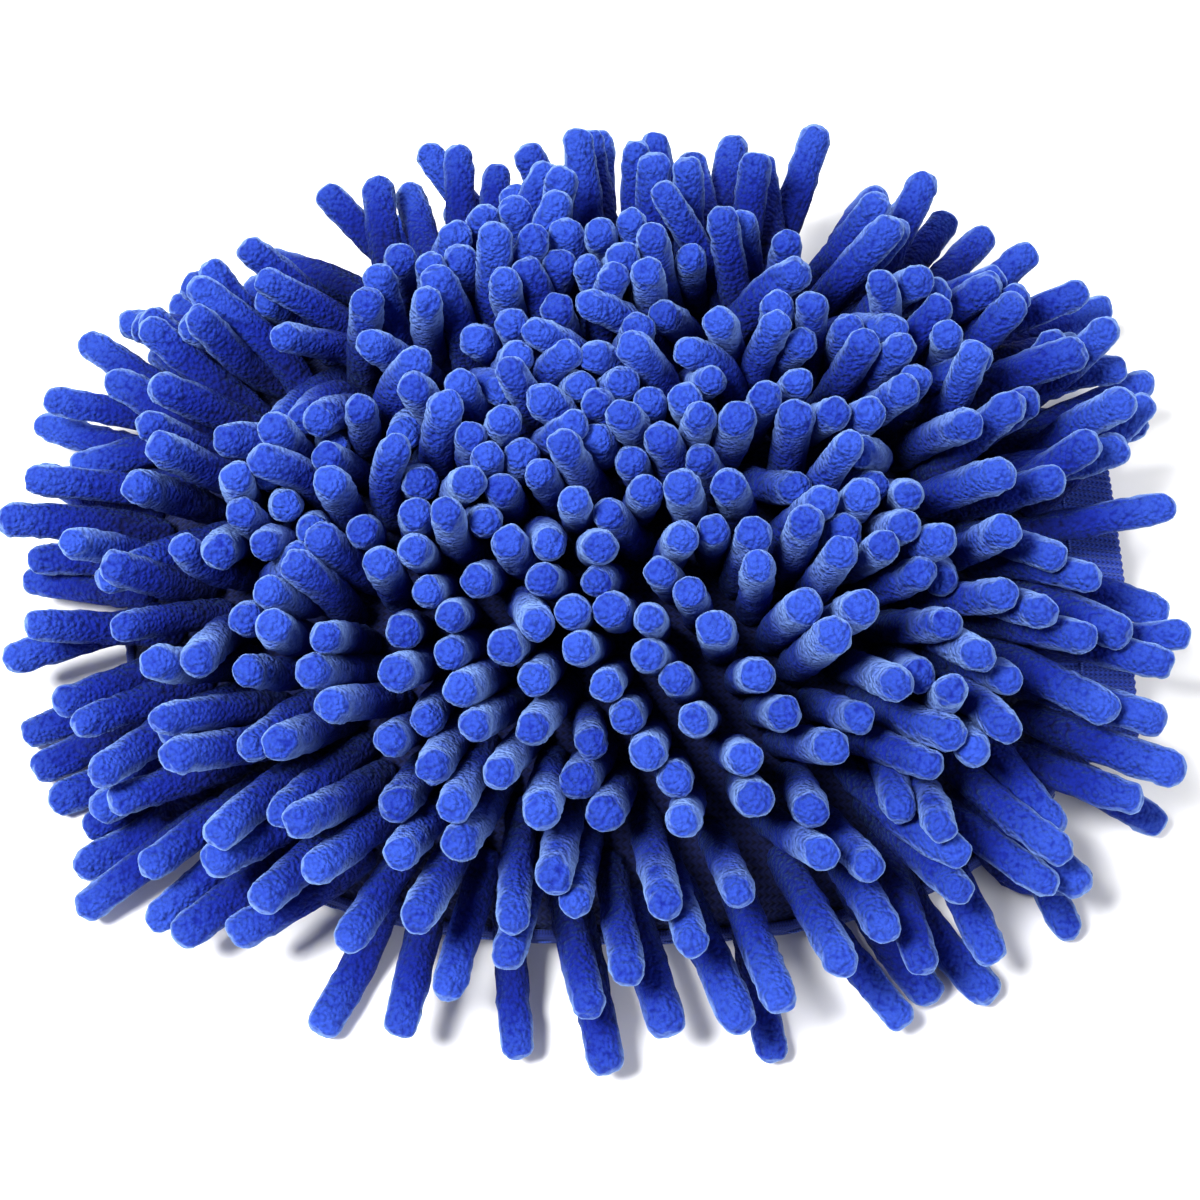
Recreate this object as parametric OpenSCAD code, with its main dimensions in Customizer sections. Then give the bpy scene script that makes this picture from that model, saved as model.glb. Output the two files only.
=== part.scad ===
// Chenille wash mitt: a padded hand pocket with rows of soft pile fingers on its
// domed top, a mesh back, an elastic knit cuff at the wrist, and a hang loop.
// Units are millimetres. +Z is up, through the pile. The mitt lies on its back
// panel at z = 0, and +X runs from the fingertips to the wrist.

/* [Body] */
// Length the body's outline would have if it closed at the wrist
body_l = 200; // [180:1:240]
// Width of the body across the palm
body_w = 160; // [150:1:192]
// Squareness of the outline, where 2 is an ellipse
outline_power = 2.5; // [2.3:0.1:2.8]
// Height of the seam that joins the top to the back
seam_z = 8; // [7:0.5:10]
// Rise of the domed top above the seam
dome_h = 32; // [30:1:39]
// Distance from the end of that outline to the wrist edge
wrist_setback = 12; // [8:1:16]

/* [Layers] */
// Thickness of the knit that carries the pile
backing_t = 1.6; // [1.3:0.1:2]
// Thickness of the sponge pad under the pile knit
pad_t = 5; // [3:0.5:6]
// Thickness of the mesh back panel
back_t = 1.4; // [1.1:0.1:1.7]
// Thickness of each lining
lining_t = 0.8; // [0.6:0.1:1]
// Clearance between one layer and the next
layer_gap = 0.3; // [0.2:0.05:0.4]
// Distance the pad and linings stop short of the wrist edge
lining_setback = 9; // [9:0.5:12]

/* [Pile] */
// Diameter of a pile finger near its tip
finger_d = 7; // [6:0.1:7.4]
// Diameter of a pile finger at its root
root_d = 4; // [3.3:0.1:4]
// Length of a pile finger
finger_l = 34; // [28:1:40]
// Length over which a finger thickens from root to full diameter
flare_l = 29; // [23:1:29]
// Distance between fingers along a row
finger_pitch = 6.4; // [6.4:0.1:8.4]
// Distance between rows
row_pitch = 9.3; // [9.3:0.1:12.6]
// Angle of the rows from the length of the mitt
row_slant = 58; // [50:1:70]
// Lean that the edge would have if it grew evenly from the middle
mid_lean = 40; // [38:1:56]
// Lean of the outermost fingers from upright
rim_lean = 98; // [90:1:99]
// How suddenly the lean grows to that at the edge
rim_turn = 4; // [4:0.5:6]
// Lean of the middle of the pile towards -Y, its nap
nap_lean = 18; // [0:1:18]
// Depth that a finger's root is sewn into the knit
root_sink = 1.1; // [0.8:0.1:1.2]
// Share of the body's half size that the fingers cover
pile_reach = 0.96; // [0.85:0.01:0.96]
// Clear strip between the outermost fingers and the wrist edge
wrist_margin = 4; // [4:0.5:8]

/* [Edge binding] */
// Thickness of the binding tape
binding_t = 1.2; // [0.8:0.1:1.5]
// Depth of the tape below the seam
binding_below = 3; // [2:0.5:4]
// Height of the tape above the seam
binding_above = 1.5; // [1:0.5:1.5]

/* [Cuff] */
// Length of cuff beyond the wrist edge
cuff_l = 18; // [16:1:24]
// Length of cuff sewn in under the pile knit
cuff_tuck = 8; // [5:1:8]
// Thickness of the rib knit
cuff_t = 1.4; // [1:0.1:1.6]
// Width across the cuff at its hem
hem_w = 84; // [70:1:88]
// Height of the underside of the hem
hem_bottom = 2.1; // [2.1:0.1:2.6]
// Height of the top of the hem
hem_top = 15; // [13:0.5:15]
// Width of the facing folded inside the hem
facing_w = 12; // [10:1:14]
// Thickness of the facing
facing_t = 0.6; // [0.5:0.1:0.8]
// Width of the elastic
elastic_w = 7; // [5:0.5:8]
// Thickness of the elastic
elastic_t = 0.8; // [0.6:0.1:1]
// Clearance round the elastic
hem_gap = 0.1; // [0.1:0.05:0.2]

/* [Hang loop and label] */
// Length of the hang loop
loop_l = 22; // [18:1:22]
// Width across the hang loop
loop_w = 20; // [16:1:24]
// Width of the loop's braid
braid_w = 5; // [3:0.5:6]
// Thickness of the loop's braid
braid_t = 1.3; // [0.8:0.1:1.3]
// Length of the care label
label_l = 20; // [16:1:22]
// Width of the care label
label_w = 18; // [12:1:24]
// Thickness of the care label
label_t = 0.5; // [0.4:0.1:0.8]
// Height of the line that the loop and the label fold along
fold_z = 0.8; // [0.7:0.05:0.85]
// Distance of that line beyond the hem
fold_out = 0.8; // [0.8:0.1:1.2]

/* [Stitching] */
// Length of a stitch
stitch_l = 3; // [2:0.5:4]
// Thickness of the thread
thread_d = 0.6; // [0.4:0.1:0.8]
// Distance from one stitch to the next
stitch_pitch = 6; // [5:0.5:8]
// Depth that a stitch bites into its cloth
stitch_bite = 0.2; // [0.1:0.05:0.25]

/* [Hidden] */
half_l = body_l / 2;
half_w = body_w / 2;
wrist_x = half_l - wrist_setback;
DOME_POWER = 2;      // roundness of the top along a radius
DOME_FALL = 0.7;     // steepness of the top near the seam
BELLY_POWER = 6;     // flatness of the back
BELLY_FALL = 0.5;    // steepness of the back near the seam
NOSE = 0.9995;       // where the blunt end of the outline is squared off
STATIONS = 26;       // steps along a shell
ARCH_STEPS = 20;     // steps across a shell
RING_STEPS = 56;     // steps round the cuff
OUTLINE_STEPS = 120; // steps along the binding
DIFF = 0.01;         // step for a surface's slope
pad_in = backing_t + layer_gap;
front_lining_in = pad_in + pad_t + layer_gap;
back_lining_in = back_t + layer_gap;
lining_end = wrist_x - lining_setback;
cuff_start = wrist_x - cuff_tuck;
cuff_end = wrist_x + cuff_l;
elastic_in = cuff_t + hem_gap;
facing_in = elastic_in + elastic_t + hem_gap;
facing_start = cuff_end - facing_w;
elastic_start = facing_start + (facing_w - elastic_w) / 2;
fold_x = cuff_end + fold_out;
lean_half_l = wrist_x + wrist_margin;
tip_r = finger_d / 2;
root_r = root_d / 2;
BLUE = [0.18, 0.28, 0.78];
NAVY = [0.10, 0.16, 0.50];
row_dir = [cos(row_slant), -sin(row_slant)];
row_side = [sin(row_slant), cos(row_slant)];
row_span = floor(norm([half_l, half_w]) / row_pitch);
step_span = ceil(norm([half_l, half_w]) / finger_pitch);

// --- surfaces -------------------------------------------------------------

// 0 in the middle of an outline with half sizes a and b, and 1 on it
function radius_share(x, y, a, b) =
    pow(pow(abs(x) / a, outline_power) + pow(abs(y) / b, outline_power), 1 / outline_power);
// Half width of that outline at x
function outline_y(x, a, b) =
    b * pow(max(0, 1 - pow(abs(x) / a, outline_power)), 1 / outline_power);
function rise(s, power, fall) = pow(max(0, 1 - pow(min(s, 1), power)), fall);
// Height of the top and of the back, each taken in by a distance
function top_z(x, y, inset) =
    seam_z + (dome_h - inset)
        * rise(radius_share(x, y, half_l - inset, half_w - inset), DOME_POWER, DOME_FALL);
function back_z(x, y, inset) =
    seam_z - (seam_z - inset)
        * rise(radius_share(x, y, half_l - inset, half_w - inset), BELLY_POWER, BELLY_FALL);
function skin_z(x, y, inset, is_top) = is_top ? top_z(x, y, inset) : back_z(x, y, inset);

// One half of the body's skin as a grid of points from the blunt end to x_end
function skin_grid(inset, is_top, x_end) =
    let (a = half_l - inset, b = half_w - inset, x0 = -a * NOSE)
    [for (u = [0:STATIONS])
        let (
            x = x0 + (x_end - x0) * (1 - cos(180 * u / STATIONS)) / 2,
            w = outline_y(x, a, b)
        )
        [for (v = [0:ARCH_STEPS])
            let (y = w * cos(180 * v / ARCH_STEPS))
            [x, y, v == 0 || v == ARCH_STEPS ? seam_z : skin_z(x, y, inset, is_top)]]];

// Two triangles between four corners
function quad(a, b, c, d) = [[a, b, c], [a, c, d]];
function flat_list(lists) = [for (l = lists) each l];
function flipped(faces) = [for (f = faces) [f[2], f[1], f[0]]];

// A cloth shell between the skin at one inset and the skin at a deeper one
module half_shell(inset, thickness, is_top, x_end) {
    outer = skin_grid(inset, is_top, x_end);
    inner = skin_grid(inset + thickness, is_top, x_end);
    across = ARCH_STEPS + 1;
    count = (STATIONS + 1) * across;
    last = STATIONS * across;
    skin = flat_list([for (u = [0:STATIONS - 1], v = [0:ARCH_STEPS - 1])
        let (i = u * across + v)
        quad(i, i + 1, i + across + 1, i + across)]);
    nose = [for (v = [1:ARCH_STEPS - 1]) [0, v + 1, v]];
    inner_skin = [for (f = concat(skin, nose)) [f[2] + count, f[1] + count, f[0] + count]];
    wrist = flat_list([for (v = [0:ARCH_STEPS - 1])
        let (i = last + v)
        quad(i, i + 1, i + count + 1, i + count)]);
    rim = flat_list([for (u = [0:STATIONS - 1])
        let (i = u * across, j = i + ARCH_STEPS)
        concat(
            quad(i, i + across, i + across + count, i + count),
            quad(j, j + count, j + across + count, j + across))]);
    tip = quad(0, count, count + ARCH_STEPS, ARCH_STEPS);
    faces = concat(skin, nose, inner_skin, wrist, rim, tip);
    polyhedron(
        points = concat(flat_list(outer), flat_list(inner)),
        faces = is_top ? faces : flipped(faces));
}

// --- body -----------------------------------------------------------------

module pile_backing() {
    color(BLUE) half_shell(0, backing_t, true, wrist_x);
}

module sponge_pad() {
    color("khaki") half_shell(pad_in, pad_t, true, lining_end);
}

module front_lining() {
    color("lightsteelblue") half_shell(front_lining_in, lining_t, true, lining_end);
}

module back_panel() {
    color([0.55, 0.62, 0.88]) half_shell(0, back_t, false, wrist_x);
}

module back_lining() {
    color("lightsteelblue") half_shell(back_lining_in, lining_t, false, lining_end);
}

// --- pile -----------------------------------------------------------------

// Unit vector out of the domed top
function top_normal(x, y) =
    let (
        gx = (top_z(x + DIFF, y, 0) - top_z(x - DIFF, y, 0)) / (2 * DIFF),
        gy = (top_z(x, y + DIFF, 0) - top_z(x, y - DIFF, 0)) / (2 * DIFF),
        n = [-gx, -gy, 1]
    )
    n / norm(n);

// Direction of the finger rooted above a point, leaning out towards the edge
function finger_dir(x, y) =
    let (
        a = x > 0 ? lean_half_l : half_l,
        share = min(1, radius_share(x, y, a, half_w) / pile_reach),
        lean = mid_lean * share + (rim_lean - mid_lean) * pow(share, rim_turn),
        out = [x / a, y / half_w],
        flat = out / max(norm(out), DIFF),
        nap = tan(nap_lean) * (1 - share * share),
        d = [flat[0] * sin(lean), flat[1] * sin(lean) - nap, cos(lean)]
    )
    d / norm(d);

// Middle of the finger's root, with its lowest edge sewn just into the knit
function finger_root(x, y) =
    let (n = top_normal(x, y), tilt = norm(cross(n, finger_dir(x, y))))
    [x, y, top_z(x, y, 0)] + n * (root_r * tilt - root_sink);

// Points on the plan where one row has fingers, every other row half a step on
function row_points(row) =
    [for (step = [-step_span:step_span])
        let (
            along = (step + (row % 2 == 0 ? 0 : 0.5)) * finger_pitch,
            p = row_dir * along + row_side * row * row_pitch
        )
        if (radius_share(p[0], p[1], half_l, half_w) <= pile_reach
            && p[0] <= wrist_x - wrist_margin) p];

rows = [for (row = [-row_span:row_span]) if (len(row_points(row)) > 0) row];
function row_name(i) = str("pile_row_", i < 9 ? "0" : "", i + 1);

// A finger standing on the origin: a flared stem, a straight length, a round tip
module finger() {
    rotate_extrude($fn = 40) {
        polygon([[0, 0], [root_r, 0], [tip_r, flare_l], [tip_r, finger_l - tip_r],
            [0, finger_l - tip_r]]);
        intersection() {
            translate([0, finger_l - tip_r]) circle(r = tip_r);
            translate([0, finger_l - tip_r]) square([tip_r, tip_r]);
        }
    }
}

module pile_row(row) {
    color(BLUE) for (p = row_points(row)) {
        d = finger_dir(p[0], p[1]);
        translate(finger_root(p[0], p[1]))
            rotate([0, acos(d[2]), atan2(d[1], d[0])]) finger();
    }
}

// --- edge binding ---------------------------------------------------------

function signed_power(v, p) = sign(v) * pow(abs(v), p);
function outline_point(angle, out) =
    [(half_l + out) * signed_power(cos(angle), 2 / outline_power),
     (half_w + out) * signed_power(sin(angle), 2 / outline_power)];

wrist_angle = acos(pow(wrist_x / half_l, outline_power / 2));
function edge_angle(i) = wrist_angle + (360 - 2 * wrist_angle) * i / OUTLINE_STEPS;

module edge_binding() {
    low = seam_z - binding_below;
    high = seam_z + binding_above;
    ring = [for (i = [0:OUTLINE_STEPS])
        let (p = outline_point(edge_angle(i), 0), q = outline_point(edge_angle(i), binding_t))
        [[p[0], p[1], low], [q[0], q[1], low], [q[0], q[1], high], [p[0], p[1], high]]];
    walls = flat_list([for (i = [0:OUTLINE_STEPS - 1], k = [0:3])
        let (n = (k + 1) % 4)
        quad(4 * i + k, 4 * i + 4 + k, 4 * i + 4 + n, 4 * i + n)]);
    end = 4 * OUTLINE_STEPS;
    caps = concat(quad(0, 1, 2, 3), quad(end + 3, end + 2, end + 1, end));
    color(NAVY) polyhedron(points = flat_list(ring), faces = concat(walls, caps));
}

// Distance run along the outside of the binding, up to each of its points
function run_lengths(i = 0, total = 0) =
    i > OUTLINE_STEPS ? [] :
    let (
        here = outline_point(edge_angle(i), binding_t),
        next = outline_point(edge_angle(i + 1), binding_t)
    )
    concat([[total, edge_angle(i)]], run_lengths(i + 1, total + norm(next - here)));

// One stitch centred on the origin, lying along X
module stitch() {
    cube([stitch_l, thread_d, thread_d], center = true);
}

module binding_stitches() {
    runs = run_lengths();
    total = runs[OUTLINE_STEPS][0];
    count = floor(total / stitch_pitch);
    sit = binding_t - stitch_bite + thread_d / 2;
    color("white") for (k = [0:count - 1]) {
        angle = lookup((k + 0.5) * total / count, runs);
        p = outline_point(angle, sit);
        t = outline_point(angle + DIFF, sit) - outline_point(angle - DIFF, sit);
        translate([p[0], p[1], seam_z - (binding_below - binding_above) / 2])
            rotate([0, 0, atan2(t[1], t[0])]) stitch();
    }
}

// --- cuff -----------------------------------------------------------------

cuff_half_w = outline_y(wrist_x, half_l - pad_in, half_w - pad_in);
cuff_rise = top_z(wrist_x, 0, pad_in) - seam_z;
cuff_drop = seam_z - back_z(wrist_x, 0, back_lining_in);
function mix(a, b, share) = a + (b - a) * share;

// A point on the cuff's outside: it follows the body's inside up to the wrist edge
// and then narrows evenly to the hem
function cuff_point(x, angle) =
    let (
        share = max(0, (x - wrist_x) / cuff_l),
        xs = min(x, wrist_x),
        w = outline_y(xs, half_l - pad_in, half_w - pad_in),
        y = w * cos(angle),
        up = sin(angle) > 0,
        z = abs(sin(angle)) < DIFF ? seam_z
            : up ? top_z(xs, y, pad_in) : back_z(xs, y, back_lining_in),
        height = up ? mix(1, (hem_top - seam_z) / cuff_rise, share)
            : mix(1, (seam_z - hem_bottom) / cuff_drop, share)
    )
    [x, y * mix(1, hem_w / 2 / cuff_half_w, share), seam_z + (z - seam_z) * height];

// The same point moved in through the wall
function cuff_inside(x, angle, inset) =
    let (
        p = cuff_point(x, angle),
        w = abs(cuff_point(x, 0)[1]),
        top = cuff_point(x, 90)[2] - seam_z,
        drop = seam_z - cuff_point(x, 270)[2],
        reach = p[2] > seam_z ? top : drop
    )
    [x, p[1] * (w - inset) / w, seam_z + (p[2] - seam_z) * (reach - inset) / reach];

// A tube between two insets of the cuff's surface
module cuff_tube(x0, x1, inset, thickness) {
    xs = [for (x = [x0, wrist_x, x1]) if (x >= x0 && x <= x1) x];
    stations = len(xs);
    loops = [for (i = [inset, inset + thickness], x = xs)
        [for (k = [0:RING_STEPS - 1]) cuff_inside(x, 360 * k / RING_STEPS, i)]];
    function at(loop, k) = loop * RING_STEPS + k % RING_STEPS;
    walls = flat_list([for (s = [0:stations - 2], k = [0:RING_STEPS - 1])
        concat(
            quad(at(s, k), at(s, k + 1), at(s + 1, k + 1), at(s + 1, k)),
            quad(at(stations + s, k), at(stations + s + 1, k),
                at(stations + s + 1, k + 1), at(stations + s, k + 1)))]);
    ends = flat_list([for (k = [0:RING_STEPS - 1])
        concat(
            quad(at(0, k), at(stations, k), at(stations, k + 1), at(0, k + 1)),
            quad(at(stations - 1, k), at(stations - 1, k + 1),
                at(2 * stations - 1, k + 1), at(2 * stations - 1, k)))]);
    polyhedron(points = flat_list(loops), faces = concat(walls, ends));
}

module cuff() {
    color(NAVY) cuff_tube(cuff_start, cuff_end, 0, cuff_t);
}

module cuff_elastic() {
    color("white") cuff_tube(elastic_start, elastic_start + elastic_w, elastic_in, elastic_t);
}

module hem_facing() {
    color(NAVY) cuff_tube(facing_start, cuff_end, facing_in, facing_t);
}

module hem_stitches() {
    x = facing_start + thread_d;
    count = floor(hem_w * 2 / stitch_pitch);
    color("white") for (k = [0:count - 1]) {
        // evenly spaced across the top, then back across the underside
        up = k < count / 2;
        share = ((up ? k : k - count / 2) + 0.5) / (count / 2);
        angle = acos(mix(0.9, -0.9, share)) * (up ? 1 : -1);
        p = cuff_point(x, angle);
        q = cuff_point(x, angle + 1);
        bite = (thread_d / 2 - stitch_bite) * (up ? 1 : -1);
        translate(p + [0, 0, bite]) rotate([atan((q[2] - p[2]) / (q[1] - p[1])), 0, 0])
            rotate([0, 0, 90]) stitch();
    }
}

// --- hang loop and care label ---------------------------------------------

loop_y = label_w;
label_y = -loop_w;
tack_z = hem_bottom - thread_d + stitch_bite;

module hang_loop() {
    bend_r = loop_w / 2;
    leg_l = loop_l - bend_r;
    color(NAVY) translate([fold_x, loop_y, fold_z - braid_t / 2])
        linear_extrude(braid_t) difference() {
            union() {
                translate([-leg_l, -bend_r]) square([leg_l, loop_w]);
                translate([-leg_l, 0]) circle(r = bend_r, $fn = 60);
            }
            translate([-leg_l, braid_w - bend_r])
                square([leg_l + layer_gap, loop_w - 2 * braid_w]);
            translate([-leg_l, 0]) circle(r = bend_r - braid_w, $fn = 60);
        }
}

// Close zigzag stitches that hold a piece of this width under the hem
module tack(y, w) {
    count = floor(w / (2 * thread_d));
    for (k = [0:count - 1])
        translate([cuff_end - stitch_l, y - w / 2 + (k + 0.25) * w / count, tack_z])
            cube([stitch_l - thread_d, thread_d, thread_d]);
}

module loop_bar_tacks() {
    leg = (loop_w - braid_w) / 2;
    color("white") {
        tack(loop_y - leg, braid_w);
        tack(loop_y + leg, braid_w);
    }
}

module care_label() {
    color("white") translate([fold_x - label_l, label_y - label_w / 2, fold_z - label_t / 2])
        cube([label_l, label_w, label_t]);
}

module label_tacks() {
    color("white") tack(label_y, label_w);
}

pile_backing();
sponge_pad();
front_lining();
back_panel();
back_lining();
edge_binding();
binding_stitches();
cuff();
cuff_elastic();
hem_facing();
hem_stitches();
hang_loop();
loop_bar_tacks();
care_label();
label_tacks();
for (i = [0:len(rows) - 1])
    pile_row(rows[i]);
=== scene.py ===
"""Chenille wash mitt: soft pile fingers, mesh back, knit cuff, binding, loop and label."""

import math

import bmesh
import bpy
import numpy as np
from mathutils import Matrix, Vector, noise
from mathutils.bvhtree import BVHTree


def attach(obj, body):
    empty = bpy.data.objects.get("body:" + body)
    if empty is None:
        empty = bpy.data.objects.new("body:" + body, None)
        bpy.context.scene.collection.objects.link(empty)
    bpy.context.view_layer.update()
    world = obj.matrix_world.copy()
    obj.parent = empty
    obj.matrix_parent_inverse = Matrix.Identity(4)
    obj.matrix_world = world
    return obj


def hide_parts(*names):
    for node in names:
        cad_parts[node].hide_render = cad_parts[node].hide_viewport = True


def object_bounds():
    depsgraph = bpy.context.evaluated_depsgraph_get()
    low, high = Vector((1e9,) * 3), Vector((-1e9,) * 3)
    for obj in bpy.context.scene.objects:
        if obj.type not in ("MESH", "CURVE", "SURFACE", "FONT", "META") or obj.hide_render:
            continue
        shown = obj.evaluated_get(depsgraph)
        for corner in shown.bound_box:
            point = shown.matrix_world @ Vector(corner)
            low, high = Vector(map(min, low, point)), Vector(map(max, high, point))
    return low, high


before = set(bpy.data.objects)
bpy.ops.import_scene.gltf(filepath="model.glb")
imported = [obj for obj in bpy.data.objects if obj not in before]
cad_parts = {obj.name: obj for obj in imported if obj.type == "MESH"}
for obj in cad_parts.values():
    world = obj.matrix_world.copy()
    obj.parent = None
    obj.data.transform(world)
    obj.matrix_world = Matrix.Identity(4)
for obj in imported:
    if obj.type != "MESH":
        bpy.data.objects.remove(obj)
CAD_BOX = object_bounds()
ROWS = sorted(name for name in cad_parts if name.startswith("pile_row_"))
MM = 0.001

bl_info = {
    "name": "Chenille Wash Mitt",
    "version": (1, 0, 0),
    "blender": (4, 5, 0),
    "location": "View3D > Sidebar > Wash Mitt",
    "description": "Builds a chenille wash mitt round its fixed frame",
    "category": "Add Mesh",
}


# --- settings ---------------------------------------------------------------

class PileSettings(bpy.types.PropertyGroup):
    finger_r: bpy.props.FloatProperty(
        name="Finger radius", description="Radius of a pile finger along its straight part",
        default=3.45 * MM, min=3 * MM, max=6 * MM, unit="LENGTH")
    root_r: bpy.props.FloatProperty(
        name="Root radius", description="Radius of a pile finger where it leaves the knit",
        default=2.9 * MM, min=2 * MM, max=4 * MM, unit="LENGTH")
    curl: bpy.props.FloatProperty(
        name="Curl", description="Most that a finger bends along its length",
        default=math.radians(60), subtype="ANGLE")
    droop: bpy.props.FloatProperty(
        name="Droop", description="Bend of a level finger under its own weight",
        default=math.radians(16), subtype="ANGLE")
    lean: bpy.props.FloatProperty(
        name="Lean", description="Most that a finger leans from its sewn direction",
        default=math.radians(22), subtype="ANGLE")
    nap: bpy.props.FloatProperty(
        name="Nap", description="Tilt of the whole pile towards its brushed side",
        default=math.radians(26), subtype="ANGLE")
    upright: bpy.props.FloatProperty(
        name="Upright", description="Share of the sewn fan kept in the middle of the pile",
        default=0.4, min=0, max=1)
    combed: bpy.props.FloatProperty(
        name="Combed", description="How tidy the pile lies just forward of its middle",
        default=0.72, min=0, max=1)
    seed: bpy.props.IntProperty(
        name="Seed", description="Seed of the pile's disorder", default=42, min=0)
    # painted shade: the near-black colour at the roots stands for the shade deep in the pile
    painted_root_shade: bpy.props.FloatVectorProperty(
        name="Deep colour", description="Colour between the fibres near the roots",
        default=(0.0025, 0.0036, 0.044), size=3, subtype="COLOR", min=0, max=1)
    body: bpy.props.FloatVectorProperty(
        name="Body colour", description="Colour of the pile",
        default=(0.0056, 0.0160, 0.250), size=3, subtype="COLOR", min=0, max=1)
    # painted highlight: the paler colour towards the tips stands for light caught by the fibre ends
    light: bpy.props.FloatVectorProperty(
        name="Light colour", description="Colour of the fibre ends",
        default=(0.034, 0.088, 0.54), size=3, subtype="COLOR", min=0, max=1)
    # painted sheen: the pale colour mixed into the pile's colour where its fibres are seen edge on
    sheen: bpy.props.FloatVectorProperty(
        name="Sheen colour", description="Colour of the fibre ends seen edge on",
        default=(0.34, 0.55, 1.0), size=3, subtype="COLOR", min=0, max=1)


class StageSettings(bpy.types.PropertyGroup):
    elevation: bpy.props.FloatProperty(
        name="Elevation", description="Camera's angle above the floor",
        default=math.radians(60), subtype="ANGLE")
    azimuth: bpy.props.FloatProperty(
        name="Azimuth", description="Camera's turn round the mitt, 0 looking along +Y",
        default=math.radians(0), subtype="ANGLE")
    distance: bpy.props.FloatProperty(
        name="Distance", description="Camera's distance from the mitt's middle",
        default=0.478, unit="LENGTH")
    lens: bpy.props.FloatProperty(
        name="Lens", description="Focal length in millimetres", default=70)


def settings():
    return bpy.context.scene.mitt_pile


# --- shared helpers -----------------------------------------------------------

def rng(key=0):
    return np.random.RandomState(settings().seed * 1000 + key)


def add_object(name, bm, body="mitt", material=None, replaces=()):
    """Makes a piece from a bmesh, puts it on its body and gives it its material."""
    mesh = bpy.data.meshes.new(name)
    bm.to_mesh(mesh)
    bm.free()
    obj = bpy.data.objects.new(name, mesh)
    bpy.context.scene.collection.objects.link(obj)
    for poly in mesh.polygons:
        poly.use_smooth = True
    if material:
        mesh.materials.append(material)
    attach(obj, body)
    if replaces:
        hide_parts(*replaces)
    return obj


def subdivide(obj, levels):
    mod = obj.modifiers.new("subdivision", "SUBSURF")
    mod.levels = levels
    mod.render_levels = levels
    return mod


def merged_copy(node):
    """A bmesh of a frame node with its loose triangles joined."""
    bm = bmesh.new()
    bm.from_mesh(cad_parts[node].data)
    bmesh.ops.remove_doubles(bm, verts=bm.verts, dist=1e-6)
    return bm


def islands(bm):
    """The separate solids of a bmesh, as arrays of points."""
    seen = set()
    found = []
    for start in bm.verts:
        if start in seen:
            continue
        seen.add(start)
        stack = [start]
        points = []
        while stack:
            vert = stack.pop()
            points.append(vert.co[:])
            for edge in vert.link_edges:
                other = edge.other_vert(vert)
                if other not in seen:
                    seen.add(other)
                    stack.append(other)
        found.append(np.array(points))
    return found


def spin_template(name, outline, axis, sides):
    """A mesh to copy many times, spun from its outline and closed."""
    bm = bmesh.new()
    verts = [bm.verts.new(place) for place in outline]
    edges = [bm.edges.new(pair) for pair in zip(verts, verts[1:])]
    bmesh.ops.spin(bm, geom=verts + edges, cent=(0, 0, 0), axis=axis,
                   angle=2 * math.pi, steps=sides, use_merge=True)
    bmesh.ops.remove_doubles(bm, verts=bm.verts, dist=1e-4)
    bmesh.ops.holes_fill(bm, edges=bm.edges, sides=sides)
    bmesh.ops.recalc_face_normals(bm, faces=bm.faces)
    mesh = bpy.data.meshes.new(name)
    bm.to_mesh(mesh)
    bm.free()
    return mesh


def run_layers(bm):
    """Layers for each point's run along its cloth and its place across it."""
    return bm.verts.layers.float.new("along"), bm.verts.layers.float.new("across")


def face_up(bm):
    bm.normal_update()
    if sum(f.normal.z for f in bm.faces) < 0:
        bmesh.ops.reverse_faces(bm, faces=bm.faces)


# --- materials ----------------------------------------------------------------

def new_material(name):
    material = bpy.data.materials.new(name)
    material.use_nodes = True
    return material, material.node_tree, material.node_tree.nodes["Principled BSDF"]


def add_node(tree, kind, inputs=None, **attrs):
    """A node whose inputs are given as values, or as the sockets that feed them."""
    node = tree.nodes.new(kind)
    for key, value in attrs.items():
        setattr(node, key, value)
    for key, value in (inputs or {}).items():
        if isinstance(value, bpy.types.NodeSocket):
            tree.links.new(value, node.inputs[key])
        else:
            node.inputs[key].default_value = value
    return node


def calc(tree, operation, *values, clamp=False):
    node = add_node(tree, "ShaderNodeMath", operation=operation, use_clamp=clamp,
                    inputs=dict(enumerate(values)))
    return node.outputs[0]


def remap(tree, value, low, high, to_low, to_high):
    return add_node(tree, "ShaderNodeMapRange",
                    {"Value": value, "From Min": low, "From Max": high,
                     "To Min": to_low, "To Max": to_high}).outputs["Result"]


def attribute(tree, name):
    return add_node(tree, "ShaderNodeAttribute", attribute_name=name).outputs["Fac"]


def object_coords(tree):
    return add_node(tree, "ShaderNodeTexCoord").outputs["Object"]


def colour_ramp(tree, value, *stops):
    """The colour at a value, from colours at rising places between 0 and 1."""
    node = add_node(tree, "ShaderNodeValToRGB", {"Fac": value})
    places = node.color_ramp.elements
    for _ in stops[2:]:
        places.new(0.5)
    for place, (position, colour) in zip(places, stops):
        place.position = position
        place.color = (*colour, 1)
    return node.outputs["Color"]


def lay_over(tree, mask, under, colour):
    """A plain colour laid over another where a mask is 1."""
    mix = add_node(tree, "ShaderNodeMix", data_type="RGBA")
    factor, first, second = mix.inputs[0], mix.inputs[6], mix.inputs[7]
    tree.links.new(mask, factor)
    tree.links.new(under, first)
    second.default_value = (*colour, 1)
    return mix.outputs[2]


def finish(tree, shader, colour, height, strength, distance, values):
    """Gives a shader its colour, its bump and its plain values."""
    bump = add_node(tree, "ShaderNodeBump",
                    {"Height": height, "Strength": strength, "Distance": distance})
    tree.links.new(bump.outputs["Normal"], shader.inputs["Normal"])
    tree.links.new(colour, shader.inputs["Base Color"])
    for key, value in values.items():
        shader.inputs[key].default_value = value


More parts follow.
